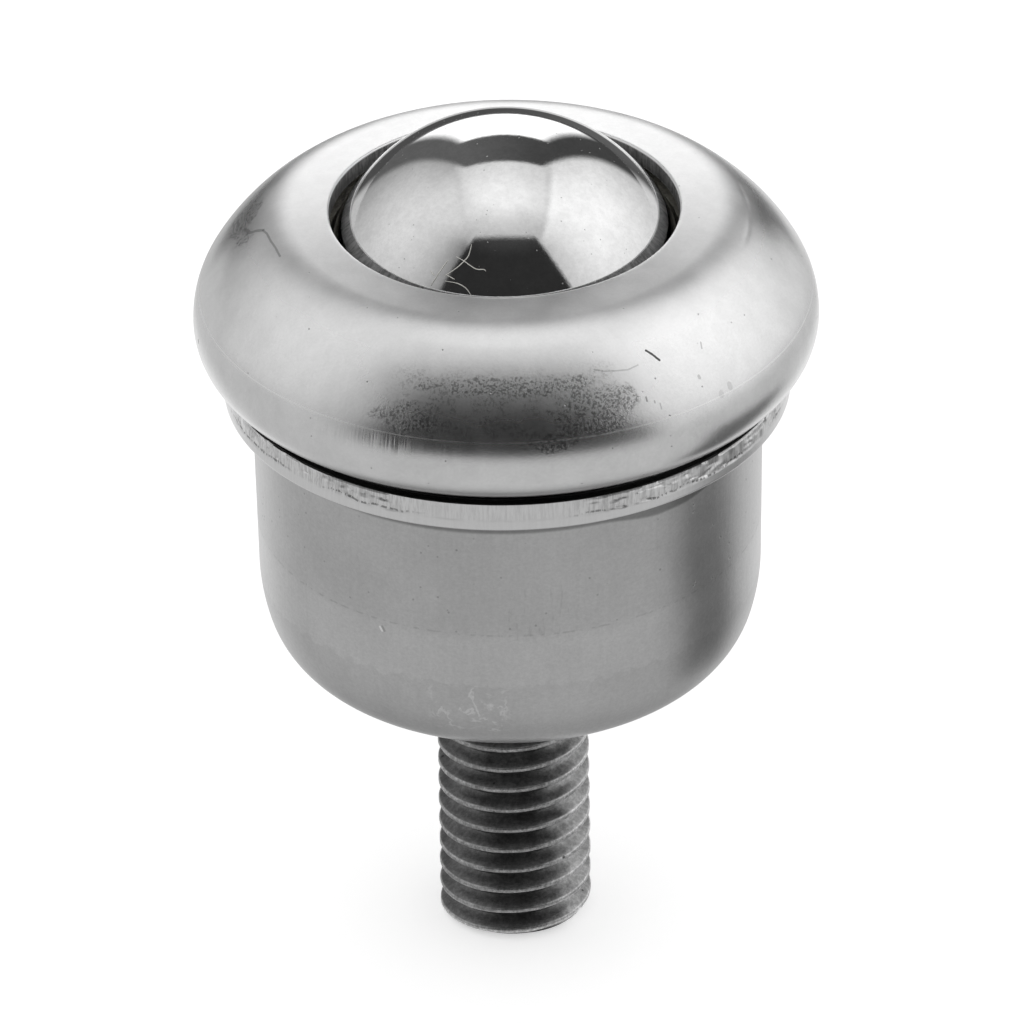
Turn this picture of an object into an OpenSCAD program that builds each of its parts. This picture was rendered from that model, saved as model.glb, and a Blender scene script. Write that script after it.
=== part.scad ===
// Ball transfer unit on a threaded stud.
// A load ball turns on a nest of small support balls, which run in a hardened race.
// A pressed cap keeps the ball in, and a drawn body with a flange carries the race.
// The origin is the centre of the body's flat underside, where the unit seats; +Z points at the ball.

/* [Load ball] */
// Diameter of the load ball
ball_d = 19.05; // [18.95:0.05:19.15]
// Height of the centre of the ball above the seat
ball_h = 21.5; // [21.4:0.1:22.4]
// Height of the ball that stands out above the mouth of the cap
ball_show = 4.5; // [4.3:0.1:4.7]

/* [Support balls] */
// Diameter of one support ball
support_d = 1.984; // [1.9:0.001:1.99]
// Running gap between the support balls and what they touch
running_gap = 0.02; // [0.01:0.005:0.03]
// Number of rows, counted from the single ball at the bottom
row_count = 9; // [6:1:9]
// Angle between two rows, seen from the centre of the load ball
row_step = 11.1; // [11:0.1:11.2]

/* [Cap] */
// Widest diameter of the cap
cap_d = 32.4; // [32.2:0.1:32.8]
// Sheet thickness of the cap
cap_t = 1.2; // [1.1:0.05:1.25]
// Diameter of the mouth, smaller than the ball
mouth_d = 18.1; // [18:0.05:18.3]
// Rounding of the upper edge of the mouth
mouth_edge_r = 0.4; // [0.2:0.05:0.5]
// Fall of the crown, from the mouth outwards
crown_angle = 7; // [5:0.5:8]
// Radius that turns the crown down into the shoulder
crown_bend_r = 4.2; // [4:0.1:4.4]
// Slope at which that turn ends
shoulder_angle = 35; // [33:1:37]
// Radius of the long shoulder
shoulder_r = 9.5; // [9:0.1:10]
// Slope at which the shoulder ends
bulge_angle = 61; // [59:1:63]
// Radius of the bulge above the widest line
bulge_r = 4.4; // [4.2:0.1:4.6]
// Radius of the curl below the widest line
curl_r = 2.5; // [2.4:0.05:2.55]

/* [Body] */
// Outside diameter of the drawn body, under the flange
body_d = 26.56; // [26.4:0.02:26.7]
// Draft of its wall, which narrows towards the seat
body_draft = 1.05; // [0.5:0.05:1.2]
// Sheet thickness of the body
body_t = 1.45; // [1.4:0.05:1.5]
// Height of the top of the flange above the seat
flange_top = 17.35; // [17.2:0.05:17.4]
// Diameter of the sheared edge of the flange
flange_d = 29.4; // [29:0.1:29.8]
// Outside radius of the bottom corner
corner_r = 4.5; // [4:0.1:4.7]
// Larger radius that leads the wall into that corner
lead_in_r = 10.8; // [8:0.1:12]
// Angle that the larger radius turns through
lead_in_turn = 14.4; // [10:0.2:16]
// Radius between the wall and the underside of the flange
flange_root_r = 0.25; // [0.2:0.05:0.3]
// Rounding that shearing leaves on the lower edge of the flange
sheared_r = 0.2; // [0.1:0.05:0.3]

/* [Race] */
// Metal under the bottom of the ball seat
race_floor_t = 1.5; // [1.2:0.1:1.8]
// Height of the race's top face above the centre of the ball
race_rise = 0.9; // [0.8:0.05:1]
// Diameter of the flat underside of the race
race_base_d = 14; // [12:0.5:15]

/* [Felt seal] */
// Height of the felt ring
felt_h = 1.7; // [1.4:0.1:1.8]
// Gap between the felt and the ball
felt_gap = 0.13; // [0.1:0.01:0.2]

/* [Stud bolt] */
// Nominal diameter of the stud
stud_d = 8; // [7.8:0.1:8]
// Length of stud below the seat
stud_l = 15.9; // [12:0.1:20]
// Pitch of the thread, which is drawn as rings
pitch = 1.25; // [1:0.25:1.25]
// Chamfer on the end of the stud
stud_end_chamfer = 0.24; // [0.15:0.01:0.3]
// Length of the relief between the seat and the thread
relief_l = 0.5; // [0.4:0.05:0.6]
// Width across the flats of the hexagon head
head_af = 13; // [12:0.5:13]
// Height of the head
head_h = 5.3; // [4:0.1:5.3]
// Diameter of the hole in the floor of the body
stud_hole_d = 8.6; // [8.5:0.05:9]

/* [Hidden] */
$fn = 96;
// largest turn of one step along a bend, in degrees
bend_step = 4;
// facets round one support ball
support_facets = 32;
// least gap between two neighbours in a row of support balls
row_gap = 0.03;
// length by which a cut, or one solid let into another, runs past a face
overrun = 1;

ball_r = ball_d / 2;
support_r = support_d / 2;
// radius of the sphere on which the centres of the support balls lie
nest_r = ball_r + support_r + running_gap;
// radius of the seat on which the support balls roll
seat_r = nest_r + support_r + running_gap;

cap_r = cap_d / 2;
mouth_r = mouth_d / 2;
body_r = body_d / 2;
flange_r = flange_d / 2;
flange_under = flange_top - body_t;

// the crown ends where the three bends below it leave room for the widest line
crown_end_r = cap_r
    - crown_bend_r * (sin(shoulder_angle) - sin(crown_angle))
    - shoulder_r * (sin(bulge_angle) - sin(shoulder_angle))
    - bulge_r * (1 - sin(bulge_angle));
cap_top = ball_h + ball_r - ball_show;
crown_end_z = cap_top - (crown_end_r - mouth_r) * tan(crown_angle);
widest_z = crown_end_z
    - crown_bend_r * (cos(crown_angle) - cos(shoulder_angle))
    - shoulder_r * (cos(shoulder_angle) - cos(bulge_angle))
    - bulge_r * cos(bulge_angle);
// the curl ends flat, pointing inwards, just clear of the neck of the race
curl_centre_r = cap_r - curl_r;
curl_inner_z = widest_z - curl_r + cap_t;

// play between the race and the sheet metal round it, and between its collar and the curl of the cap
race_play = 0.05;
collar_play = 0.1;
race_r = body_r - body_t - race_play;
race_neck_r = curl_centre_r - race_play;
race_top = ball_h + race_rise;
race_base_z = ball_h - seat_r - race_floor_t;
// width of the flat top face, from the seat outwards
race_land = 2.5;
race_top_r = seat_r + race_land;
// radius of the round corner that sits in the curl, and how far above the widest line it ends
collar_r = curl_r - cap_t - collar_play;
collar_rise = 0.3;
// the upper end of the seat is opened out by this step, from this far below the ball's centre
seat_step = 0.15;
seat_step_depth = 0.3;
// depth of the thread as a share of its pitch, and the slope of its flanks
thread_depth = 0.6134;
flank_angle = 30;
// slope that turns off the corners of the hexagon head
head_chamfer_angle = 30;
// gap between the neck of the stud bolt and the hole that it fills, and how far the neck stays above the seat
neck_gap = 0.02;
neck_set = 0.2;
// the felt stays this far from the edge of the race, and its outer face leans in by this much
felt_inset = 0.1;
felt_outer_r = race_top_r - felt_inset;
felt_lean = 1.5;

row_names = [for (k = [1:row_count]) str("support_balls_row_", k)];

// ---- bent sheet: a path of bends and straights, then a wall of even thickness beside it ----

// A state is [x, z, heading], the heading in degrees from +x towards +z.
// Points along a bend of radius r that turns the heading by turn degrees, positive to the left.
function bend(s, r, turn) =
    let (side = sign(turn), n = max(2, ceil(abs(turn) / bend_step)))
    let (cx = s[0] - side * r * sin(s[2]), cz = s[1] + side * r * cos(s[2]))
    [for (i = [1:n]) let (h = s[2] + turn * i / n)
        [cx + side * r * sin(h), cz - side * r * cos(h), h]];

function straight(s, l) = [[s[0] + l * cos(s[2]), s[1] + l * sin(s[2]), s[2]]];

function last(v) = v[len(v) - 1];
function all_but_last(v) = [for (i = [0:len(v) - 2]) v[i]];

// Follows a list of moves, each [radius, turn] for a bend or [length] for a straight.
function follow(s, moves, i = 0) =
    i >= len(moves) ? []
    : let (m = moves[i], pts = len(m) == 2 ? bend(s, m[0], m[1]) : straight(s, m[0]))
      concat(pts, follow(last(pts), moves, i + 1));

function points(states) = [for (s = states) [s[0], s[1]]];

// The far face of the sheet, thickness t to the right of the path.
function far_face(states, t) =
    [for (i = [len(states) - 1:-1:0]) let (s = states[i]) [s[0] + t * sin(s[2]), s[1] - t * cos(s[2])]];

// ---- cap ----

module top_cap() {
    // the path starts on the wall of the mouth and rounds its upper edge
    edge_turn = 90 + crown_angle;
    edge_start = [mouth_r, cap_top - mouth_edge_r * tan(edge_turn / 2), 90];
    edge = bend(edge_start, mouth_edge_r, -edge_turn);
    crown_l = (crown_end_r - last(edge)[0]) / cos(crown_angle);
    outside = follow(last(edge), [
        [crown_l],
        [crown_bend_r, crown_angle - shoulder_angle],
        [shoulder_r, shoulder_angle - bulge_angle],
        [bulge_r, bulge_angle - 90],
        [curl_r, -90]
    ]);
    inside = far_face(concat([last(edge)], outside), cap_t);
    mouth_under = [mouth_r, last(inside)[1]];
    color("lightgray")
        rotate_extrude()
            polygon(concat(points([edge_start]), points(edge), points(outside), inside, [mouth_under]));
}

// ---- felt seal ----

module felt_seal() {
    // the inner face follows the ball, the outer one leans in under the shoulder of the cap
    bottom_in = sqrt(pow(ball_r, 2) - pow(race_rise, 2)) + felt_gap;
    top_in = sqrt(pow(ball_r, 2) - pow(race_rise + felt_h, 2)) + felt_gap;
    color("darkkhaki")
        rotate_extrude()
            polygon([
                [bottom_in, race_top],
                [felt_outer_r, race_top],
                [felt_outer_r - felt_lean, race_top + felt_h],
                [top_in, race_top + felt_h]
            ]);
}

// ---- balls ----

module load_ball() {
    color("gainsboro")
        translate([0, 0, ball_h]) sphere(r = ball_r);
}

// One row of support balls, k rows up from the single ball at the bottom.
module support_row(k) {
    polar = row_step * k;
    row_r = nest_r * sin(polar);
    spacing = support_d + row_gap;
    count = k == 0 ? 1 : floor(180 / asin(spacing / (2 * row_r)));
    color("slategray")
        for (i = [0:count - 1])
            rotate([0, 0, 360 / count * (i + k / 2)])
                translate([row_r, 0, ball_h - nest_r * cos(polar)])
                    sphere(r = support_r, $fn = support_facets);
}

// ---- race ----

module race_cup() {
    collar = bend([curl_centre_r, curl_inner_z, 0], collar_r, 90);
    outline = concat(
        [
            [0, race_base_z],
            [race_base_d / 2, race_base_z],
            [race_r, race_base_z + race_r - race_base_d / 2],
            [race_r, flange_top],
            [race_neck_r, flange_top],
            [race_neck_r, curl_inner_z],
            [curl_centre_r, curl_inner_z]
        ],
        points(collar),
        [
            [last(collar)[0], widest_z + collar_rise],
            [race_top_r, race_top],
            [0, race_top]
        ]
    );
    color("dimgray")
        difference() {
            rotate_extrude() polygon(outline);
            translate([0, 0, ball_h]) sphere(r = seat_r);
            // the top of the seat is opened out, so that the upper row can pass
            translate([0, 0, ball_h - seat_step_depth])
                cylinder(r = seat_r + seat_step, h = seat_step_depth + race_rise + overrun);
        }
}

// ---- body ----

module body_cup() {
    // the path runs in under the flange, down the wall and in along the seat to the stud's hole
    start = [flange_r - sheared_r, flange_under, 180];
    corner_start = body_draft + lead_in_turn;
    wall_l = (flange_under
        - flange_root_r * (1 - sin(body_draft))
        - lead_in_r * (sin(corner_start) - sin(body_draft))
        - corner_r * (1 - sin(corner_start))) / cos(body_draft);
    wall = concat([start], follow(start, [
        [flange_r - sheared_r - body_r - flange_root_r],
        [flange_root_r, 90 - body_draft],
        [wall_l],
        [lead_in_r, -lead_in_turn],
        [corner_r, corner_start - 90]
    ]));
    outside = concat(wall, straight(last(wall), last(wall)[0] - stud_hole_d / 2));
    inside = far_face(outside, body_t);
    sheared_edge = all_but_last(bend([flange_r, flange_under + sheared_r, -90], sheared_r, -90));
    color("silver")
        rotate_extrude()
            polygon(concat(
                points(outside),
                inside,
                [[flange_r, flange_top], [flange_r, flange_under + sheared_r]],
                points(sheared_edge)
            ));
}

// ---- stud bolt ----

module stud_bolt() {
    stud_r = stud_d / 2;
    root_r = stud_r - thread_depth * pitch;
    neck_r = stud_hole_d / 2 - neck_gap;
    // one groove and the crest below it, from the foot of the crest above it
    flank = (stud_r - root_r) * tan(flank_angle);
    crest_l = pitch / 8;
    ring = [[stud_r, 0], [root_r, -flank], [root_r, crest_l + flank - pitch], [stud_r, crest_l - pitch]];
    ring_count = floor((stud_l - relief_l - crest_l - stud_end_chamfer) / pitch);
    rings = [for (i = [0:ring_count - 1], p = ring) [p[0], p[1] - relief_l - crest_l - i * pitch]];
    corner_to_corner_r = head_af / 2 / cos(30);
    head_top = body_t + head_h;
    // the chamfer's cone is drawn a little past the corners
    cone_r = corner_to_corner_r + overrun;
    cone_z = head_top - (cone_r - head_af / 2) * tan(head_chamfer_angle);
    color("gray") {
        rotate_extrude()
            polygon(concat(
                [[0, body_t + overrun], [neck_r, body_t + overrun], [neck_r, neck_set], [root_r, neck_set]],
                [[root_r, -relief_l], [stud_r, -relief_l]],
                rings,
                [[stud_r, stud_end_chamfer - stud_l], [stud_r - stud_end_chamfer, -stud_l], [0, -stud_l]]
            ));
        // the corners of the hexagon are turned off at the top
        intersection() {
            translate([0, 0, body_t])
                cylinder(r = corner_to_corner_r, h = head_h, $fn = 6);
            rotate_extrude()
                polygon([
                    [0, body_t],
                    [cone_r, body_t],
                    [cone_r, cone_z],
                    [head_af / 2, head_top],
                    [0, head_top]
                ]);
        }
    }
}

top_cap();
felt_seal();
load_ball();
for (k = [0:row_count - 1])
    support_row(k);
race_cup();
body_cup();
stud_bolt();
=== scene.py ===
import math

import bmesh
import bpy
import numpy as np
from mathutils import Matrix, Vector


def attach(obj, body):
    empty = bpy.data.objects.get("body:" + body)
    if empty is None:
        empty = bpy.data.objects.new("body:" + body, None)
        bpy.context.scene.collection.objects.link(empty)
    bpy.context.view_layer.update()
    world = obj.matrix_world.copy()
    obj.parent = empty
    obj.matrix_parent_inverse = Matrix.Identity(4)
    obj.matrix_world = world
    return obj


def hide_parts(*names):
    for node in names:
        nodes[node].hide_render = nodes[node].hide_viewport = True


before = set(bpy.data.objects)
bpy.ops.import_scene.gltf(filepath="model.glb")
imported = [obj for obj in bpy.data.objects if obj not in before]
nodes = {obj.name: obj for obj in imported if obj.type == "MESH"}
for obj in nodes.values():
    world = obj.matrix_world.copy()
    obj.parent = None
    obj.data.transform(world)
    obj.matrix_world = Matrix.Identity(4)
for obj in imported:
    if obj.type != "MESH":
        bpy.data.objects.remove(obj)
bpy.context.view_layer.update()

# Objects are in metres. Sizes and places below are in mm and angles in degrees, unless a line says otherwise.
# An azimuth is counted from -Y, the front, towards +X.
MM = 0.001
DEGREES = 180 / math.pi

# Sizes that the solids have too.
BALL_R = 9.525
BALL_Z = 21.5
CAP_R = 16.2
CAP_T = 1.2
CAP_TOP = 26.525
MOUTH_R = 9.05
CROWN_ANGLE = 7
CROWN_BEND_R = 4.2
SHOULDER_ANGLE = 35
SHOULDER_R = 9.5
BULGE_ANGLE = 61
BULGE_R = 4.4
CURL_R = 2.5
BODY_R = 13.28
BODY_T = 1.45
DRAFT = 1.05
LEAD_IN_R = 10.8
LEAD_IN_TURN = 14.4
CORNER_R = 4.5
FLANGE_TOP = 17.35
FLANGE_R = 14.7
ROOT_R = 0.25
SHEARED_R = 0.2
STUD_HOLE_R = 4.3
RACE_TOP = 22.4
FELT_H = 1.7
FELT_GAP = 0.13
FELT_OUTER_R = 13.95
FELT_LEAN = 1.5
STUD_R = 4.0
STUD_L = 15.9
STUD_CHAMFER = 0.24
PITCH = 1.25
RELIEF_L = 0.5
NECK_R = 4.28
NECK_SET = 0.2
HEAD_AF = 13.0
HEAD_H = 5.3

# Sizes of what only the scene shows.
MOUTH_EDGE_R = 0.12
LIP_COINED = 0.3  # how much thinner the lip is at the mouth, on its hidden side
PUNCH_R = 12.6  # the faint ring that the punch left on the crown
PUNCH_W = 0.12
PUNCH_DEPTH = 0.03
DIE_LINE = (21.86, 21.91)  # the heights between which the fine line round the cap runs
BURR_W = 0.35
BURR_H = 0.13
TORN_Z = 16.5  # the cut edge of the flange is smooth below this height and torn above it
FELT_RAISED = 0.75
RAISED_OUTER_R = 10.4
THREAD_DEPTH = 0.767
FLANK_ANGLE = 30  # half the angle between the flanks of the thread
FIBRE_R = 0.022

# Heights that tell the places on a piece apart.
CROWN_Z = 24
CURL_Z = 17.9
# the painted shade under the flange on the body begins at about this height
FLANGE_SHADE_Z = 14.75

# How finely the round pieces are divided round the axis, and the thread and the ball along it.
CAP_SIDES = 360
BALL_SIDES = 256
BALL_STEPS = 128
BODY_SIDES = 640
STUD_SIDES = 168
STEPS_PER_PITCH = 20
NECK_SIDES = 96
FELT_SIDES = 300
FELT_STEP = 0.25
FIBRE_SIDES = 6
FIBRE_STEPS = 6


# ---- meshes ----


def sine(degrees):
    return math.sin(math.radians(degrees))


def cosine(degrees):
    return math.cos(math.radians(degrees))


def tangent(degrees):
    return math.tan(math.radians(degrees))


class Path:
    """A path in the plane of radius and height, made of bends and straights."""

    def __init__(self, r, z, heading):
        self.states = [(r, z, heading)]

    def straight(self, length, step=0.3):
        r, z, h = self.states[-1]
        n = max(1, math.ceil(length / step))
        for i in range(1, n + 1):
            along = length * i / n
            self.states.append((r + along * cosine(h), z + along * sine(h), h))

    def bend(self, radius, turn, step=0.3):
        """Turns the heading by turn degrees, positive to the left."""
        r, z, h = self.states[-1]
        arm = math.copysign(radius, turn)
        n = max(4, math.ceil(radius * math.radians(abs(turn)) / step))
        middle_r, middle_z = r - arm * sine(h), z + arm * cosine(h)
        for i in range(1, n + 1):
            g = h + turn * i / n
            self.states.append((middle_r + arm * sine(g), middle_z - arm * cosine(g), g))
        return self

    def points(self):
        return [(r, z) for r, z, h in self.states]

    def far_face(self, t, first=0):
        """The other face of a sheet of thickness t to the right of the path, in the opposite order."""
        return [(r + t * sine(h), z - t * cosine(h)) for r, z, h in reversed(self.states[first:])]


def thinned(points, start):
    """Every fourth point, for a face that is hardly seen, and both ends."""
    return points[:1] + points[start:-1:4] + points[-1:]


def smooth(x, lo=0.0, hi=1.0):
    """0 below lo, 1 above hi, and an even curve between."""
    t = np.clip((x - lo) / (hi - lo), 0, 1)
    return t * t * (3 - 2 * t)


def patchy(u, v, across, along, seed):
    """Smooth noise from 0 to 1, in so many cells across for one turn of u and along for v from 0 to 1."""
    table = np.random.default_rng(seed).random((across, along + 1))
    a, b = (u % 1) * across, np.clip(v, 0, 1) * along
    i = np.floor(a).astype(int) % across
    j = np.minimum(np.floor(b).astype(int), along - 1)
    s, t = smooth(a - np.floor(a)), smooth(b - j)
    k = (i + 1) % across
    lower = table[i, j] * (1 - s) + table[k, j] * s
    upper = table[i, j + 1] * (1 - s) + table[k, j + 1] * s
    return lower * (1 - t) + upper * t


def azimuth_of(turns):
    """The azimuth from -180 to 180 of a turn counted from +X towards +Y, where 1 is once round."""
    return (turns * 360 + 270) % 360 - 180


def vertex(bm, x, y, z):
    return bm.verts.new((x * MM, y * MM, z * MM))


def bridge(bm, lower, upper):
    """Closes the gap between two rings of as many vertices."""
    n = len(lower)
    for q in range(n):
        bm.faces.new([lower[q], lower[(q + 1) % n], upper[(q + 1) % n], upper[q]])


def finish_mesh(name, bm, crease=35):
    """Makes the object, smooth and facing out, with edges sharp where faces meet at over crease degrees."""
    bmesh.ops.recalc_face_normals(bm, faces=bm.faces)
    for f in bm.faces:
        f.smooth = True
    for e in bm.edges:
        e.smooth = not e.is_manifold or e.calc_face_angle(0) < math.radians(crease)
    mesh = bpy.data.meshes.new(name)
    bm.to_mesh(mesh)
    bm.free()
    obj = bpy.data.objects.new(name, mesh)
    bpy.context.scene.collection.objects.link(obj)
    return obj


def turned(bm, outline, sides, dent=None):
    """Adds an outline, closed or from axis to axis, turned about Z.

    dent(turns, r, z) gives how deep each point is pressed in.
    """
    tiny = 1e-6
    pts = np.array(outline, float)
    pts = pts[np.r_[True, np.hypot(*np.diff(pts, axis=0).T) > tiny]]
    to_axis = pts[0, 0] < tiny and pts[-1, 0] < tiny
    if not to_axis and np.hypot(*(pts[0] - pts[-1])) < tiny:
        pts = pts[:-1]
    n = len(pts)
    turns, r, z = np.broadcast_arrays(np.arange(sides)[None, :] / sides, pts[:, :1], pts[:, 1:])
    along = np.roll(pts, -1, axis=0) - np.roll(pts, 1, axis=0)
    area = np.sum(pts[:, 0] * np.roll(pts[:, 1], -1) - np.roll(pts[:, 0], -1) * pts[:, 1])
    inward = np.c_[-along[:, 1], along[:, 0]] * np.sign(area)
    inward /= np.linalg.norm(inward, axis=1)[:, None] + 1e-12
    if dent:
        depth = dent(turns, r, z)
        r, z = r + inward[:, :1] * depth, z + inward[:, 1:] * depth
    x, y = r * np.cos(turns * 2 * math.pi), r * np.sin(turns * 2 * math.pi)
    rows = []
    for i in range(n):
        if pts[i, 0] < tiny:
            rows.append([vertex(bm, 0, 0, z[i, 0])] * sides)
        else:
            rows.append([vertex(bm, x[i, j], y[i, j], z[i, j]) for j in range(sides)])
    for i in range(n - 1 if to_axis else n):
        a, b = rows[i], rows[(i + 1) % n]
        for j in range(sides):
            k = (j + 1) % sides
            corners = [a[j], a[k], b[k], b[j]]
            unique = [v for q, v in enumerate(corners) if v not in corners[:q]]
            if len(unique) > 2:
                bm.faces.new(unique)


def lathe(name, outline, sides, dent=None, crease=35):
    bm = bmesh.new()
    turned(bm, outline, sides, dent)
    return finish_mesh(name, bm, crease)


# ---- materials ----


class Nodes:
    """Short ways to add nodes to a tree. A value is a number or a socket."""

    def __init__(self, tree):
        self.tree = tree

    def add(self, kind, **props):
        node = self.tree.nodes.new(kind)
        for key, value in props.items():
            setattr(node, key, value)
        return node

    def put(self, socket, value):
        if isinstance(value, bpy.types.NodeSocket):
            self.tree.links.new(value, socket)
        else:
            socket.default_value = value

    def math(self, op, a, b=0.0, clamp=False):
        node = self.add("ShaderNodeMath", operation=op, use_clamp=clamp)
        self.put(node.inputs[0], a)
        self.put(node.inputs[1], b)
        return node.outputs[0]

    def times(self, first, *rest):
        for value in rest:
            first = self.math("MULTIPLY", first, value)
        return first

    def plus(self, first, *rest):
        for value in rest:
            first = self.math("ADD", first, value)
        return first

    def minus(self, a, b):
        return self.math("SUBTRACT", a, b)

    def divide(self, a, b):
        return self.math("DIVIDE", a, b)

    def largest(self, a, b):
        return self.math("MAXIMUM", a, b)

    def absolute(self, a):
        return self.math("ABSOLUTE", a)

    def length(self, a, b):
        return self.math("SQRT", self.plus(self.times(a, a), self.times(b, b)))

    def azimuth_from(self, x, y):
        return self.times(self.math("ARCTAN2", x, self.times(y, -1.0)), DEGREES)

    def vmath(self, op, a, b=(0, 0, 0), scale=1.0):
        node = self.add("ShaderNodeVectorMath", operation=op)
        self.put(node.inputs[0], a)
        self.put(node.inputs[1], b)
        if op == "SCALE":
            self.put(node.inputs["Scale"], scale)
        return node.outputs["Value" if op in ("DOT_PRODUCT", "DISTANCE") else "Vector"]

    def split(self, vector):
        node = self.add("ShaderNodeSeparateXYZ")
        self.put(node.inputs[0], vector)
        return node.outputs

    def join(self, x, y, z):
        node = self.add("ShaderNodeCombineXYZ")
        for socket, value in zip(node.inputs, (x, y, z)):
            self.put(socket, value)
        return node.outputs[0]

    def range(self, value, lo, hi, to_lo=0.0, to_hi=1.0, even=True):
        """to_lo below lo and to_hi above hi, with an even curve between, or a straight line."""
        node = self.add("ShaderNodeMapRange", interpolation_type="SMOOTHSTEP" if even else "LINEAR")
        for socket, v in zip(node.inputs, (value, lo, hi, to_lo, to_hi)):
            self.put(socket, v)
        return node.outputs[0]

    def fall(self, value, lo, hi):
        """1 below lo and 0 above hi."""
        return self.range(value, lo, hi, 1.0, 0.0)

    def band(self, value, lo, hi, soft):
        """1 between lo and hi, 0 outside, with soft edges."""
        return self.times(self.range(value, lo - soft, lo + soft), self.fall(value, hi - soft, hi + soft))

    def weight(self, mask, lo, hi):
        """lo where the mask is 0, hi where it is 1."""
        return self.range(mask, 0.0, 1.0, lo, hi)

    def tint(self, level, mask, kept):
        """level, times kept where the mask is 1."""
        return self.times(level, self.weight(mask, 1.0, kept))

    def less(self, level, part):
        """level without that part of it."""
        return self.times(level, self.minus(1.0, part))

    def swap(self, level, mask, value):
        """level, and value instead where the mask is 1."""
        return self.plus(level, self.times(mask, self.minus(value, level)))

    def rays(self):
        """Two masks: what the camera sees, and what shows in metal or through glass."""
        kinds = self.add("ShaderNodeLightPath").outputs
        return kinds["Is Camera Ray"], self.largest(kinds["Is Glossy Ray"], kinds["Is Transmission Ray"])


class Shade(Nodes):
    """One Principled material. mm is the place on the piece."""

    def __init__(self, name, **inputs):
        self.mat = bpy.data.materials.new(name)
        self.mat.use_nodes = True
        super().__init__(self.mat.node_tree)
        self.bsdf = self.tree.nodes["Principled BSDF"]
        for key, value in inputs.items():
            self.bsdf.inputs[key.replace("_", " ")].default_value = value
        at = self.add("ShaderNodeTexCoord").outputs["Object"]
        self.mm = self.vmath("SCALE", at, scale=1 / MM)

    def set(self, key, value):
        self.put(self.bsdf.inputs[key], value)

    def grey(self, value):
        self.set("Base Color", self.join(value, value, value))

    def bump(self, height, distance):
        node = self.add("ShaderNodeBump")
        self.put(node.inputs["Height"], height)
        self.put(node.inputs["Distance"], distance * MM)
        self.set("Normal", node.outputs[0])

    def mix(self, factor, a, b):
        """A colour between a and b, each a socket or red, green and blue."""
        node = self.add("ShaderNodeMix", data_type="RGBA")
        self.put(node.inputs["Factor"], factor)
        # the sockets for colours come after those for numbers and vectors
        for socket, value in ((node.inputs[6], a), (node.inputs[7], b)):
            self.put(socket, (*value, 1) if isinstance(value, tuple) else value)
        return node.outputs[2]

    def noise(self, scale, detail=3.0, rough=0.5, twist=0.0, at=None):
        node = self.add("ShaderNodeTexNoise")
        self.put(node.inputs["Vector"], self.mm if at is None else at)
        for key, value in (("Scale", scale), ("Detail", detail), ("Roughness", rough), ("Distortion", twist)):
            self.put(node.inputs[key], value)
        return node.outputs["Fac"]

    def spread(self, noise, lo, hi, even=True):
        """A noise, most of which lies from 0.3 to 0.7, brought to the range from lo to hi."""
        return self.range(noise, 0.3, 0.7, lo, hi, even)

    def shaken(self, scale, span):
        """The place on the piece, moved at random along each axis within that span."""
        node = self.add("ShaderNodeTexNoise")
        self.put(node.inputs["Vector"], self.mm)
        self.put(node.inputs["Scale"], scale)
        centred = self.vmath("SUBTRACT", node.outputs["Color"], (0.5, 0.5, 0.5))
        return self.vmath("ADD", self.mm, self.vmath("SCALE", centred, scale=span))

    def pits(self, scale, inner, outer, bare):
        """Soft round spots, each in a cell of its own; the share bare of the cells has none."""
        node = self.add("ShaderNodeTexVoronoi")
        self.put(node.inputs["Vector"], self.mm)
        self.put(node.inputs["Scale"], scale)
        spot = self.fall(node.outputs["Distance"], inner, outer)
        return self.times(spot, self.range(self.split(node.outputs["Color"])[0], bare, bare + 0.04))

    def near_line(self, place, points, wide):
        """1 near the line through the points, 0 further than wide from it."""
        nearest = None
        for a, b in zip(points, points[1:]):
            along = Vector(b) - Vector(a)
            rel = self.vmath("SUBTRACT", place, tuple(a))
            ahead = self.vmath("DOT_PRODUCT", rel, tuple(along))
            t = self.math("DIVIDE", ahead, along.length_squared, clamp=True)
            away = self.vmath("DISTANCE", rel, self.vmath("SCALE", tuple(along), scale=t))
            nearest = away if nearest is None else self.math("MINIMUM", nearest, away)
        return self.fall(nearest, wide * 0.5, wide)


class RoundShade(Shade):
    """A material for a piece turned about Z: r, z and azimuth say where a point is."""

    def __init__(self, name):
        super().__init__(name, Metallic=1.0)
        x, y, self.z = self.split(self.mm)
        self.r = self.largest(self.length(x, y), 0.01)
        self.out = self.divide(x, self.r), self.divide(y, self.r)
        self.azimuth = self.azimuth_from(*self.out)

    def streaks(self, around, along, detail, rough=0.5, scale=1.0):
        """Noise drawn out along Z; around and along say how fine it is round the axis and upwards."""
        x, y = (self.times(c, around) for c in self.out)
        place = self.join(x, y, self.times(self.z, along))
        return self.noise(scale, detail, rough, at=place)

    def noise_round(self, scale):
        """Noise that changes round the axis alone."""
        return self.noise(scale, 2.0, at=self.join(*self.out, 0.0))


def dress(obj, shade):
    obj.data.materials.clear()
    obj.data.materials.append(shade.mat)


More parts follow.
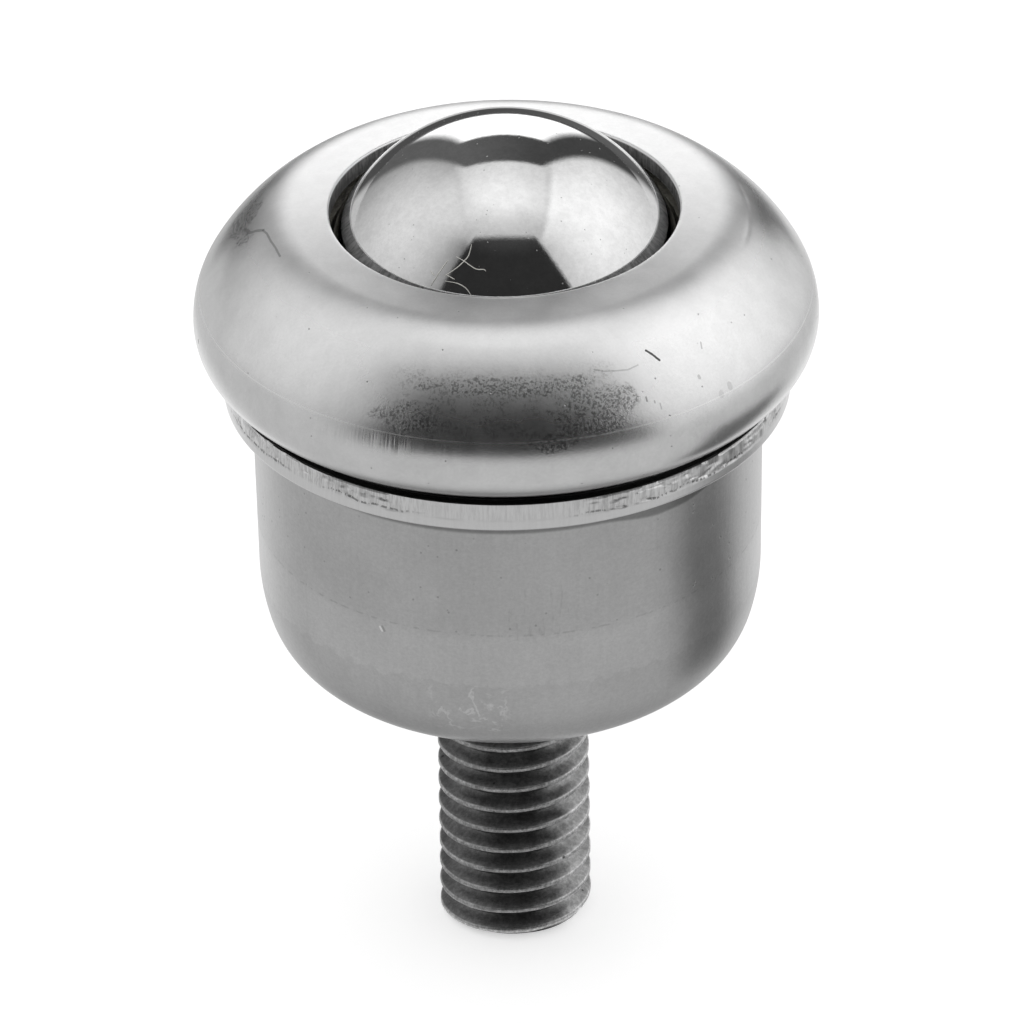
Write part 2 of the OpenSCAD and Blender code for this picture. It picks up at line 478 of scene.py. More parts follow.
# Marks on the cap: the places each runs through, in azimuth and mm along the sheet from the mouth, then half
# its width, and how much of the colour it keeps.
CAP_MARKS = [
    ([(31, 5.2), (32, 5.5), (33, 5.9)], 0.08, 0.1),
    ([(27.5, 7.5), (27.5, 7.7)], 0.07, 0.5),
    ([(29, 7.8), (29, 7.9)], 0.06, 0.65),
    ([(30, 8.0), (30, 8.3)], 0.05, 0.7),
    ([(44, 5.9), (43.5, 6.2)], 0.06, 0.65),
    ([(40, 7.4), (40, 7.5)], 0.12, 0.7),
    ([(46, 8.5), (46, 8.7)], 0.2, 0.82),
    ([(43.5, 8.7), (43.5, 8.8)], 0.22, 0.86),
    ([(18.5, 5.5), (20.5, 5.7), (23, 5.8), (25.5, 5.9), (28, 5.8)], 0.055, 0.72),
    ([(-79, 10.1), (-79, 10.2)], 0.11, 0.35),
    ([(-93, 4.8), (-89.5, 4.4), (-88.5, 4.0), (-87, 3.6)], 0.14, 0.62),
    ([(-87, 3.6), (-84.5, 3.4), (-80.5, 3.3), (-77, 3.2), (-72.5, 3.2)], 0.08, 0.6),
]
# Patches where stretching left the cap pebbled: azimuth and height of the middle, then half the width in
# degrees and half the height.
PEBBLED = [
    (17.5, 22.9, 9.0, 1.1),
    (-19.5, 22.6, 6.5, 0.85),
    (0, 24.2, 19.5, 0.42),
    (8, 21.8, 6.5, 0.55),
    (-99, 24.9, 12, 0.7),
]
# The ends of a nick in the wall of the body, painted as a bright glint, in azimuth and height, and how far to
# the right and up its painted shadow lies.
NICK = [(-31, 8.2), (-30.5, 8.0)]
NICK_SHADOW = Vector((0.14, 0, 0.05))

FELT_DARK = (0.11, 0.10, 0.08)
FELT_PALE = (0.28, 0.27, 0.22)
FELT_HAIRS = (0.42, 0.40, 0.34)
FIBRE_DARK = (0.55, 0.54, 0.50)
FIBRE_PALE = (0.80, 0.79, 0.75)


def cap_steel():
    s = RoundShade("cap_steel")
    side = s.absolute(s.azimuth)
    cloud = s.noise(0.35, 4.0, 0.55)
    grain = s.noise(7.0, 3.0, 0.6)
    base = s.times(s.spread(cloud, 0.90, 0.96), s.spread(grain, 0.96, 1.0))
    # small dark pits, sparse
    pit = s.pits(1.3, 0.03, 0.09, 0.62)
    base = s.tint(base, pit, 0.6)
    base = s.times(base, s.range(s.noise(1.1, 4.0, 0.6, 0.4), 0.35, 0.65, 0.965, 1.0))
    # the wall of the mouth is a cut edge: dull, with short upright marks, and its colour is painted much
    # darker as the shade inside the mouth
    wall = s.times(
        s.fall(s.r, MOUTH_R + 0.04, MOUTH_R + 0.10),
        s.fall(s.z, CAP_TOP - 0.16, CAP_TOP - 0.08),
    )
    marks = s.streaks(48.0, 1.2, 3.0, 0.65)
    base = s.less(base, s.times(wall, s.spread(marks, 0.78, 0.52)))
    for points, wide, kept in CAP_MARKS:
        ragged = s.shaken(6.0, wide * 0.5)
        base = s.tint(base, s.near_line(ragged, [on_cap(*p) for p in points], wide), kept)
    # the crown is dull from the press, the shoulder smoother but for its front, the wall of the mouth rough
    matt = s.times(s.range(side, 18.0, 34.0, 0.11, 0.0), s.range(s.z, 22.4, 24.2))
    zone = s.largest(s.range(s.z, 24.9, 25.9, 0.25, 0.38), s.plus(matt, 0.25))
    rough = s.plus(zone, s.spread(cloud, -0.02, 0.02), s.times(wall, 0.2))
    # stretching left the bulge pebbled in front, and more so in patches
    soft = s.noise(0.9)
    pebbled = s.times(s.band(s.z, 21.9, 24.8, 0.5), s.range(soft, 0.40, 0.55, 0.35, 1.0))
    pebbled = s.times(pebbled, s.range(side, 18.0, 28.0, 0.55, 0.08))
    wobble = s.spread(soft, -0.35, 0.35, False)
    for azimuth, z, wide, high in PEBBLED:
        across = s.divide(s.minus(s.azimuth, azimuth), wide)
        up = s.divide(s.minus(s.z, z), high)
        away = s.plus(s.length(across, up), wobble)
        pebbled = s.largest(pebbled, s.fall(away, 0.6, 1.1))
    pebbles = s.times(s.minus(s.noise(7.0, 4.0, 0.75), 0.5), pebbled)
    # dark specks painted in the pebbling, as the shade in its hollows
    hollow_shade = s.times(s.fall(s.noise(6.5, 3.0, 0.7), 0.42, 0.53), pebbled)
    base = s.tint(base, hollow_shade, 0.46)
    base = s.tint(base, pebbled, 0.87)
    # painted shade under the rim, down in the joint
    joint_shade = s.times(s.fall(s.z, 18.4, 19.3), s.range(s.r, 14.0, 14.4))
    base = s.tint(base, joint_shade, 0.45)
    # upright lines on the left, just below the line of the die, and strong in one place
    drawn = s.streaks(165.0, 0.5, 2.0)
    upright = s.times(s.band(s.z, 20.95, 21.7, 0.3), s.band(s.azimuth, -36.0, -8.0, 5.0))
    scored = s.times(upright, s.weight(s.band(s.azimuth, -25.5, -18.5, 1.5), 0.2, 1.0))
    base = s.less(base, s.times(scored, s.range(drawn, 0.38, 0.56, 0.4, 0.0)))
    rough = s.plus(rough, s.times(scored, s.range(drawn, 0.5, 0.62, 0.0, 0.12)))
    # a fine bright line where the two halves of the die met
    line = s.times(s.band(s.z, *DIE_LINE, 0.025), s.range(s.noise(0.7), 0.3, 0.5, 0.45, 1.0))
    s.grey(s.tint(base, line, 1.3))
    s.set("Roughness", s.plus(rough, s.times(line, 0.08)))
    height = s.plus(s.times(grain, 0.3), s.times(pebbles, 1.1), s.times(drawn, scored, 1.6))
    s.bump(s.minus(height, s.times(pit, 1.2)), 0.01)
    return s


def ball_steel():
    s = Shade("ball_steel", Metallic=1.0)
    cloud = s.noise(0.5, 4.0, 0.6)
    haze = s.noise(5.0, 4.0, 0.7)
    base = s.times(s.spread(cloud, 0.88, 0.94), s.spread(haze, 0.94, 1.01))
    base = s.times(base, s.range(s.noise(1.9, 4.0, 0.65), 0.35, 0.65, 0.93, 1.0))
    # dust and pin pricks, more of them in some places
    speck = s.times(s.pits(2.4, 0.06, 0.14, 0.48), s.range(s.noise(0.6, 2.0), 0.35, 0.6, 0.15, 1.0))
    s.grey(s.tint(base, speck, 0.72))
    s.set("Roughness", s.plus(s.spread(cloud, 0.035, 0.06), s.times(speck, 0.45)))
    s.bump(haze, 0.0012)
    return s


def body_steel():
    s = RoundShade("body_steel")
    cloud = s.noise(0.22, 4.0, 0.55)
    grain = s.noise(6.0, 4.0, 0.7)
    drawn = s.streaks(45.0, 0.25, 4.0, 0.6)
    base = s.times(s.spread(cloud, 0.60, 0.66), s.spread(grain, 0.95, 1.04), s.spread(drawn, 0.985, 1.015))
    squat = s.vmath("MULTIPLY", s.mm, (1, 1, 1.6))
    base = s.times(base, s.spread(s.noise(3.2, 4.0, 0.75, at=squat), 0.955, 1.03))
    # a paler band where the wall meets the corner, with a ragged lower edge and a fine dark line above it
    ragged = s.plus(s.z, s.spread(s.noise(1.3), -0.3, 0.3, False))
    pale = s.times(s.range(ragged, 5.42, 5.62), s.fall(s.z, 8.0, 9.2))
    base = s.tint(base, pale, 1.08)
    rule = s.times(s.band(s.z, 8.62, 8.72, 0.05), s.range(s.noise(2.4), 0.42, 0.56))
    base = s.tint(base, rule, 0.84)
    # a nick painted as a bright glint, and its painted shadow, on the wall laid out flat
    unrolled = s.join(s.times(s.azimuth, math.radians(BODY_R)), 0.0, s.z)
    ends = [Vector((math.radians(azimuth) * BODY_R, 0, z)) for azimuth, z in NICK]
    nick_glint = s.near_line(unrolled, ends, 0.09)
    shadow = s.near_line(unrolled, [p + NICK_SHADOW for p in ends], 0.1)
    base = s.times(base, s.tint(s.weight(nick_glint, 1.0, 1.45), shadow, 0.72))
    # pin pricks over the upper wall
    prick = s.times(s.pits(2.2, 0.08, 0.2, 0.72), s.band(s.z, 8.7, 14.6, 0.4))
    base = s.tint(base, prick, 0.72)
    # upright scuffs on the front, and dried stains on the corner below
    scuff = s.range(s.streaks(40.0, 0.6, 3.0, scale=1.6), 0.56, 0.66)
    scuff = s.times(scuff, s.band(s.azimuth, -2.0, 15.0, 3.0), s.band(s.z, 8.4, 11.6, 0.8))
    base = s.tint(base, scuff, 0.92)
    contour = s.absolute(s.minus(s.noise(0.55, 4.0, 0.6, 0.8), 0.5))
    stain = s.times(s.fall(contour, 0.015, 0.045), s.range(s.noise(1.7), 0.42, 0.6))
    stain = s.times(stain, s.times(s.band(s.azimuth, -19.0, -1.0, 3.0), s.band(s.z, 2.4, 5.5, 0.4)))
    base = s.tint(base, stain, 1.25)
    # painted shade under the flange, reaching lower down on the right, and on its top face beneath the cap
    low = s.minus(FLANGE_SHADE_Z, s.times(s.band(s.azimuth, 28.0, 50.0, 8.0), 0.45))
    flange_shade = s.times(s.range(s.minus(s.z, low), 0.0, 0.3), s.fall(s.r, BODY_R + 0.3, BODY_R + 0.6))
    base = s.tint(base, flange_shade, 0.5)
    top = s.range(s.z, FLANGE_TOP - 0.02, FLANGE_TOP - 0.01)
    base = s.tint(base, s.times(top, s.fall(s.r, FLANGE_R - 0.25, FLANGE_R - 0.1)), 0.25)
    # the sheared edge of the flange is bright, with darker streaks where it is torn, most off the front
    edge = s.range(s.r, FLANGE_R - 0.33, FLANGE_R - 0.25)
    deep = s.range(s.r, FLANGE_R - 0.15, FLANGE_R - 0.05, 0.75, 1.0)
    busy = s.largest(s.band(s.azimuth, -75.0, -20.0, 6.0), s.band(s.azimuth, 14.0, 74.0, 6.0))
    busy = s.largest(busy, s.range(s.absolute(s.azimuth), 88.0, 100.0))
    torn = s.times(s.range(s.z, TORN_Z, TORN_Z + 0.15), s.weight(busy, 0.35, 1.0))
    streak = s.streaks(110.0, 0.9, 4.0, 0.7)
    streaked = s.plus(s.spread(streak, 0.95, 1.0), s.times(torn, s.range(streak, 0.36, 0.6, -0.24, 0.02)))
    bright = s.times(deep, 0.92, streaked)
    # short dark tears between the smooth and the torn part
    wander = s.plus(s.z, s.spread(s.noise_round(9.0), -0.14, 0.14, False))
    tear = s.range(s.streaks(75.0, 1.5, 3.0, 0.7), 0.45, 0.52)
    tear = s.times(tear, s.band(wander, TORN_Z + 0.06, TORN_Z + 0.18, 0.05))
    tear = s.times(tear, s.times(busy, s.range(s.noise_round(5.0), 0.38, 0.48)))
    bright = s.tint(bright, tear, 0.38)
    s.grey(s.plus(s.less(base, edge), s.times(edge, bright)))
    s.set("Roughness", s.plus(s.spread(cloud, 0.29, 0.33), s.times(grain, 0.06)))
    s.bump(s.minus(s.plus(s.times(grain, 0.6), s.times(drawn, 0.3)), prick), 0.01)
    return s


def stud_steel():
    s = RoundShade("stud_steel")
    cloud = s.noise(0.8, 4.0, 0.6)
    grain = s.noise(8.0, 3.0, 0.6)
    crest = s.range(s.r, STUD_R - 0.10, STUD_R - 0.03)
    crest = s.times(crest, s.range(s.noise(3.0, 4.0, 0.7), 0.35, 0.6, 0.5, 1.0))
    flank = s.spread(cloud, 0.15, 0.22)
    flank = s.times(flank, s.range(s.noise(4.5, 5.0, 0.75), 0.35, 0.7, 0.75, 1.3))
    # the coating is painted paler on one side, as the light that falls there, and blotched
    pale = s.range(s.plus(s.azimuth, s.spread(cloud, -7.0, 7.0)), 18.0, 68.0)
    pale = s.times(pale, s.fall(s.azimuth, 110.0, 165.0))
    flank = s.times(flank, s.weight(pale, 0.95, 2.2))
    base = s.plus(flank, s.times(crest, s.spread(grain, 0.22, 0.52)))
    s.grey(s.tint(base, s.pits(1.1, 0.08, 0.14, 0.70), 0.25))
    s.set("Roughness", s.spread(cloud, 0.34, 0.46))
    s.bump(grain, 0.012)
    return s


def hidden_steel(name, level, rough):
    s = Shade(name, Metallic=1.0)
    s.grey(s.spread(s.noise(1.2), level * 0.92, level))
    s.set("Roughness", s.spread(s.noise(3.0), rough * 0.85, rough * 1.15))
    return s


def felt():
    s = Shade("felt", Roughness=0.95, Sheen_Weight=0.25, Sheen_Roughness=0.5)
    fibre = s.noise(7.0, 4.0, 0.7, 1.5, at=s.vmath("MULTIPLY", s.mm, (1, 1, 3)))
    colour = s.mix(s.range(s.noise(1.1, 4.0, 0.6), 0.35, 0.65), FELT_DARK, FELT_PALE)
    s.set("Base Color", s.mix(s.range(fibre, 0.45, 0.75), colour, FELT_HAIRS))
    s.bump(fibre, 0.15)
    return s


def felt_fibre():
    s = Shade("felt_fibre", Roughness=0.6)
    s.set("Base Color", s.mix(s.noise(4.0), FIBRE_DARK, FIBRE_PALE))
    return s


# ---- pieces ----


def cap_side():
    """The outside of the cap as a path from its mouth to the end of the curl.

    The second result is the number of the point where the crown begins.
    """
    turn = 90 + CROWN_ANGLE
    path = Path(MOUTH_R, CAP_TOP - MOUTH_EDGE_R * tangent(turn / 2), 90)
    path.bend(MOUTH_EDGE_R, -turn, 0.07)
    crown_start = len(path.states) - 1
    crown_end_r = (
        CAP_R
        - CROWN_BEND_R * (sine(SHOULDER_ANGLE) - sine(CROWN_ANGLE))
        - SHOULDER_R * (sine(BULGE_ANGLE) - sine(SHOULDER_ANGLE))
        - BULGE_R * (1 - sine(BULGE_ANGLE))
    )
    path.straight((crown_end_r - path.states[-1][0]) / cosine(CROWN_ANGLE), 0.12)
    path.bend(CROWN_BEND_R, CROWN_ANGLE - SHOULDER_ANGLE, 0.08)
    path.bend(SHOULDER_R, SHOULDER_ANGLE - BULGE_ANGLE, 0.15)
    path.bend(BULGE_R, BULGE_ANGLE - 90, 0.15)
    path.bend(CURL_R, -90, 0.15)
    return path, crown_start


def on_cap(azimuth, along):
    """The point of the cap that far along the sheet from the mouth."""
    side = np.array(cap_side()[0].points())
    run = np.r_[0, np.cumsum(np.hypot(*np.diff(side, axis=0).T))]
    r, z = (float(np.interp(along, run, side[:, k])) for k in (0, 1))
    return r * sine(azimuth), -r * cosine(azimuth), z


def cap_outline():
    path, crown_start = cap_side()
    inside = thinned(path.far_face(CAP_T, crown_start), 2)
    # the lip is coined thinner from below
    coined = [LIP_COINED * float(smooth(MOUTH_R + 1.3 - r, 0, 1.2)) * (z > CROWN_Z) for r, z in inside]
    inside = [(r, z + up) for (r, z), up in zip(inside, coined)]
    return path.points() + inside + [(MOUTH_R, inside[-1][1])]


def cap_dent(turns, r, z):
    """Pressing leaves the sheet slightly uneven, with a shallow ring where the punch held the crown."""
    uneven = (z > CURL_Z) & ((r > MOUTH_R + 0.3) | (z > CAP_TOP - 0.5))
    height = (z - 17) / 10  # about 0 at the curl and 1 at the top
    wave = patchy(turns, height, 9, 3, 11) * 0.022 + patchy(turns, height, 26, 9, 12) * 0.010
    azimuth = azimuth_of(turns)
    right = smooth(azimuth, 74, 84) * smooth(-azimuth, -110, -98)
    rear = smooth(np.abs(azimuth), 120, 150) * 0.4
    ring = PUNCH_DEPTH * np.exp(-(((r - PUNCH_R) / PUNCH_W) ** 2)) * (z > CROWN_Z)
    return uneven * (wave + ring * np.clip(right + rear, 0, 1))


def make_cap():
    cap = lathe("cap", cap_outline(), CAP_SIDES, cap_dent)
    dress(cap, cap_steel())
    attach(cap, "housing")
    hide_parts("top_cap")


def make_ball():
    turns = [180 * i / BALL_STEPS for i in range(1, BALL_STEPS)]
    arc = [(BALL_R * sine(turn), BALL_Z + BALL_R * cosine(turn)) for turn in turns]
    ball = lathe("ball", [(0, BALL_Z + BALL_R), *arc, (0, BALL_Z - BALL_R)], BALL_SIDES)
    dress(ball, ball_steel())
    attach(ball, "ball")
    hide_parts("load_ball")


def body_outline():
    under = FLANGE_TOP - BODY_T
    turn = DRAFT + LEAD_IN_TURN
    drop = (
        ROOT_R * (1 - sine(DRAFT))
        + LEAD_IN_R * (sine(turn) - sine(DRAFT))
        + CORNER_R * (1 - sine(turn))
    )
    path = Path(FLANGE_R - SHEARED_R, under, 180)
    path.straight(FLANGE_R - SHEARED_R - BODY_R - ROOT_R)
    path.bend(ROOT_R, 90 - DRAFT, 0.08)
    path.straight((under - drop) / cosine(DRAFT), 0.6)
    path.bend(LEAD_IN_R, -LEAD_IN_TURN)
    path.bend(CORNER_R, turn - 90)
    path.straight(path.states[-1][0] - STUD_HOLE_R, 0.8)
    inside = thinned(path.far_face(BODY_T), 4)
    # a low burr that shearing left on the top edge, the cut face, and the corner that the shear drew in
    rim = [(FLANGE_R - BURR_W + BURR_W * i / 5, FLANGE_TOP + BURR_H * i / 5) for i in range(6)]
    cut = [(FLANGE_R, FLANGE_TOP - 0.02 - i * 0.055) for i in range(23)]
    corner = Path(FLANGE_R, under + SHEARED_R, -90).bend(SHEARED_R, -90, 0.06).points()
    return path.points() + inside + rim + cut + corner[:-1]


def body_dent(turns, r, z):
    """The upper half of the sheared edge is torn; the wall is slightly uneven."""
    azimuth = azimuth_of(turns)
    left = smooth(28 - np.abs(azimuth + 48), 0, 6)
    right = smooth(30 - np.abs(azimuth - 44), 0, 6)
    rougher = left + right + smooth(np.abs(azimuth), 88, 100)
    height = (z - 16) / 1.4  # about 0 at the foot of the edge and 1 at its top
    upright = patchy(turns, height, 320, 3, 21) * 0.05 * (0.4 + 0.6 * rougher)
    gouge = patchy(turns, (z - TORN_Z) / (FLANGE_TOP - TORN_Z), 210, 5, 22)
    gouge = smooth(gouge, 0.66, 0.8) * 0.05 * rougher
    step = smooth(patchy(turns, z * 0, 90, 1, 26), 0.55, 0.62)
    step = step * smooth(z, FLANGE_TOP - 0.35, FLANGE_TOP - 0.25) * 0.05 * rougher
    torn = smooth(z, TORN_Z - 0.05, TORN_Z + 0.1) * (upright + gouge + step)
    # the burr on the top edge stands up here and there
    burr = z > FLANGE_TOP + 0.001
    ragged = smooth(patchy(turns, z * 0, 130, 1, 27), 0.38, 0.52) * (0.15 + 0.85 * rougher)
    torn = np.where(burr, ragged * (z - FLANGE_TOP), torn)
    edge = (r > FLANGE_R - 0.02) | burr
    wall = (r > BODY_R - 0.5) & (r < BODY_R + 0.01)
    wave = patchy(turns, z / 16, 8, 3, 24) * 0.03 * smooth(z, 4.7, 7) * smooth(15.6 - z, 0, 1.5)
    return np.where(edge, torn, 0) + np.where(wall, wave, 0)


def make_body():
    body = lathe("body", body_outline(), BODY_SIDES, body_dent)
    dress(body, body_steel())
    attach(body, "housing")
    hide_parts("body_cup")


def thread_r(phase):
    """Radius of the thread at a phase from 0 to 1 along one pitch, where the crest is at 0."""
    crest_half = PITCH / 16
    half = np.abs((phase + 0.5) % 1 - 0.5) * PITCH
    depth = np.clip((half - crest_half) / tangent(FLANK_ANGLE), 0, None)
    # the root is rounded: the flank runs out in a curve
    return STUD_R - THREAD_DEPTH * (1 - np.exp(-((depth / THREAD_DEPTH) ** 1.6) * 1.6))


def add_thread(bm):
    """The threaded stud. A row of points rises by one pitch on its way round, and joins a later row there."""
    step = PITCH / STEPS_PER_PITCH
    bottom = -STUD_L
    first = math.floor((bottom - PITCH) / step)
    count = math.ceil((NECK_SET - bottom + 2 * PITCH) / step)
    row = np.arange(first, first + count)[:, None]
    turns = np.arange(STUD_SIDES)[None, :] / STUD_SIDES
    z = np.clip(row * step + PITCH * turns, bottom, NECK_SET)
    r = thread_r((z / PITCH - turns) % 1)
    r = np.minimum(r, STUD_R - STUD_CHAMFER + (z - bottom))
    relief_r = STUD_R - THREAD_DEPTH
    run_out = relief_r + np.clip(-RELIEF_L - z, 0, None) * 1.2 + 0.05
    r = np.where(z > -RELIEF_L, relief_r, np.minimum(r, run_out))
    worn = patchy(turns + 0 * z, (z - bottom) / STUD_L, 40, 60, 31) * 0.03
    r = r - worn * (r > STUD_R - 0.2)
    x, y = r * np.cos(turns * 2 * math.pi), r * np.sin(turns * 2 * math.pi)
    v = [[vertex(bm, x[a, b], y[a, b], z[a, b]) for b in range(STUD_SIDES)] for a in range(count)]
    for a in range(count - 1):
        for b in range(STUD_SIDES):
            c, up = (b + 1, 0) if b + 1 < STUD_SIDES else (0, STEPS_PER_PITCH)
            if a + 1 + up < count:
                bm.faces.new([v[a][b], v[a + up][c], v[a + 1 + up][c], v[a + 1][b]])
    bmesh.ops.remove_doubles(bm, verts=bm.verts, dist=1e-7)
    bmesh.ops.holes_fill(bm, edges=bm.edges, sides=0)


def make_stud():
    bm = bmesh.new()
    add_thread(bm)
    # the neck through the floor of the body, and the hexagon head inside
    turned(bm, [(0, NECK_SET), (NECK_R, NECK_SET), (NECK_R, BODY_T), (0, BODY_T)], NECK_SIDES)
    corner_r = HEAD_AF / 2 / cosine(30)
    lower, upper = (
        [vertex(bm, corner_r * cosine(60 * q), corner_r * sine(60 * q), z) for q in range(6)]
        for z in (BODY_T, BODY_T + HEAD_H)
    )
    bm.faces.new(lower)
    bm.faces.new(upper)
    bridge(bm, lower, upper)
    stud = finish_mesh("stud", bm, 50)
    dress(stud, stud_steel())
    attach(stud, "housing")
    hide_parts("stud_bolt")


def beside_ball(z):
    """The radius at height z that is just clear of the ball."""
    return math.sqrt(BALL_R**2 - (z - BALL_Z) ** 2) + FELT_GAP


def felt_dent(turns, r, z):
    """The felt is fuzzy, and more or less pressed."""
    fuzz = patchy(turns, (r - 9) / 5, 200, 20, 41) * 0.10
    return fuzz + patchy(turns, (z - RACE_TOP) / FELT_H, 60, 4, 42) * 0.06


def make_felt():
    top = RACE_TOP + FELT_H
    # pressed up a little under the lip, where it shows between the lip and the ball
    raised = top + FELT_RAISED
    corners = [
        (beside_ball(RACE_TOP), RACE_TOP),
        (FELT_OUTER_R, RACE_TOP),
        (FELT_OUTER_R - FELT_LEAN, top),
        (RAISED_OUTER_R, raised),
        (beside_ball(raised), raised),
    ]
    outline = []
    for a, b in zip(corners, corners[1:] + corners[:1]):
        n = max(2, math.ceil(math.dist(a, b) / FELT_STEP))
        outline += [(a[0] + (b[0] - a[0]) * q / n, a[1] + (b[1] - a[1]) * q / n) for q in range(n)]
    ring = lathe("felt_ring", outline, FELT_SIDES, felt_dent, 80)
    dress(ring, felt())
    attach(ring, "housing")
    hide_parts("felt_seal")


# Felt fibres caught on the ball: azimuth, and elevation from the ball's centre.
FIBRES = [
    [(-20, 40), (-16.5, 39), (-11.5, 37), (-8.5, 37), (-7.5, 36.5)],
    [(-14.5, 44.5), (-15, 41), (-16.5, 39), (-18.5, 37), (-21, 35), (-23, 33.5)],
    [(-23, 38.5), (-24.5, 36), (-26, 33), (-27.5, 29.5)],
    [(-22.5, 32), (-18.5, 32), (-16, 31.5), (-14, 30.5), (-12, 28.5)],
    [(-29, 34), (-27, 33)],
    [(-22.5, 34), (-19, 33)],
]


def smooth_line(points):
    """A smooth line through the points."""
    ends = [points[0], *points, points[-1]]
    line = []
    for four in zip(ends, ends[1:], ends[2:], ends[3:]):
        for q in range(FIBRE_STEPS):
            t = q / FIBRE_STEPS
            weights = (
                -t / 2 + t * t - t**3 / 2,
                1 - 2.5 * t * t + 1.5 * t**3,
                t / 2 + 2 * t * t - 1.5 * t**3,
                (t**3 - t * t) / 2,
            )
            line.append([sum(w * p[k] for w, p in zip(weights, four)) for k in (0, 1)])
    return [*line, points[-1]]


def add_fibre(bm, points):
    """A thin tube that lies on the ball and gets thinner towards its ends."""
    line = smooth_line(points)
    last = len(line) - 1
    rings = []
    for i, (azimuth, elevation) in enumerate(line):
        az, el = math.radians(azimuth), math.radians(elevation)
        out = Vector((math.cos(el) * math.sin(az), -math.cos(el) * math.cos(az), math.sin(el)))
        east = Vector((math.cos(az), math.sin(az), 0))
        north = out.cross(east)
        before, after = line[max(0, i - 1)], line[min(last, i + 1)]
        along = east * (after[0] - before[0]) * math.cos(el) + north * (after[1] - before[1])
        side = along.normalized().cross(out)
        thick = FIBRE_R * (1 - 0.6 * abs(2 * i / last - 1) ** 3)
        middle = Vector((0, 0, BALL_Z)) + out * (BALL_R + FIBRE_R * 1.2)
        angles = [2 * math.pi * q / FIBRE_SIDES for q in range(FIBRE_SIDES)]
        places = [middle + (side * math.cos(a) + out * math.sin(a)) * thick for a in angles]
        rings.append([bm.verts.new(place * MM) for place in places])
    for lower, upper in zip(rings, rings[1:]):
        bridge(bm, lower, upper)
    bm.faces.new(rings[0])
    bm.faces.new(rings[-1])


def make_fibres():
    bm = bmesh.new()
    for points in FIBRES:
        add_fibre(bm, points)
    fibres = finish_mesh("felt_fibres", bm, 80)
    dress(fibres, felt_fibre())
    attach(fibres, "housing")


# ---- studio ----

SIGHT_ELEVATION = 30.5
SIGHT_L = 762.0
AIM_X = 0.13
AIM_Z = 8.13
ROLL = 0.95
LENS = 518.6
SENSOR_W = 36

# The floor is a hair below the end of the stud, so that the two faces do not meet, and the table above it.
FLOOR_Z = -STUD_L - 0.02
FLOOR_R = 4000
FLOOR_SIDES = 96
FLOOR_GREY = 0.9
FLOOR_GLOW = 0.45
TABLE_Z = FLOOR_Z + 0.05
TABLE_R = 3900
TABLE_SIDES = 180

# Strength of the world where the camera sees it, and where it lights matt surfaces.
SEEN = 1.0
LIT = 0.8


def make_camera():
    data = bpy.data.cameras.new("camera")
    data.lens = LENS
    data.sensor_width = SENSOR_W
    data.clip_start, data.clip_end = 0.01, 20  # metres
    cam = bpy.data.objects.new("camera", data)
    bpy.context.scene.collection.objects.link(cam)
    place = Vector((0, -SIGHT_L * cosine(SIGHT_ELEVATION), BALL_Z + SIGHT_L * sine(SIGHT_ELEVATION)))
    cam.location = place * MM
    look = Vector((AIM_X, 0, AIM_Z)) * MM - cam.location
    roll = Matrix.Rotation(math.radians(-ROLL), 3, "Z").to_quaternion()
    cam.rotation_mode = "QUATERNION"
    cam.rotation_quaternion = look.to_track_quat("-Z", "Y") @ roll
    bpy.context.scene.camera = cam


def make_world():
    """A white studio: soft panels at both sides and above, a dark gap behind and the dark room in front."""
    world = bpy.data.worlds.new("studio")
    world.use_nodes = True
    bpy.context.scene.world = world
    w = Nodes(world.node_tree)
    x, y, z = w.split(w.add("ShaderNodeTexCoord").outputs["Generated"])
    side = w.absolute(w.azimuth_from(x, y))
    high = w.times(w.math("ARCSINE", z), DEGREES)
    up = w.largest(z, 0.02)
    tilt = w.divide(x, up)

    # overhead, dimmer in front; the side panels are brightest near 100 degrees and fall off low down
    level = w.range(high, 58.0, 82.0, 0.70, 1.0, False)
    ahead = w.times(w.fall(side, 40.0, 85.0), w.fall(high, 66.0, 90.0))
    level = w.less(level, w.times(ahead, 0.25))
    off = w.minus(side, 100.0)
    hump = w.times(off, off, w.range(high, 50.0, 66.0, 0.0001, 0.00003))
    low = w.range(high, 0.0, 36.0, 0.78, 1.0)
    right = w.times(w.minus(1.05, w.times(hump, 1.4)), low)
    left = w.times(w.minus(0.78, w.times(hump, 1.7)), low)
    level = w.swap(level, w.range(tilt, 0.40, 0.50), right)
    level = w.swap(level, w.fall(tilt, -0.50, -0.40), left)
    seam = w.band(w.absolute(tilt), 0.40, 0.46, 0.04)
    level = w.swap(level, w.times(seam, 0.14), 0.3)
    # the room, narrower high up and with its corners cut, then the gap and the window behind
    width = w.plus(side, w.times(high, 0.22))
    height = w.plus(high, w.times(side, side, 0.003))
    room = w.times(w.fall(width, 49.5, 53.5), w.fall(height, 62.0, 67.0))
    level = w.swap(level, room, w.range(high, 50.0, 64.0, 0.026, 0.055))
    gap = w.times(w.range(side, 144.0, 150.0), w.range(w.divide(y, up), 0.53, 0.60))
    level = w.swap(level, gap, w.range(x, -0.35, 0.35, 0.12, 0.06))
    window = w.times(w.range(side, 160.0, 166.0), w.band(high, 2.5, 34.0, 1.2))
    level = w.swap(level, window, 1.45)

    camera, shiny = w.rays()
    background = w.tree.nodes["Background"]
    background.inputs["Color"].default_value = (1, 1, 1, 1)
    w.put(background.inputs["Strength"], w.swap(w.swap(LIT, camera, SEEN), shiny, level))


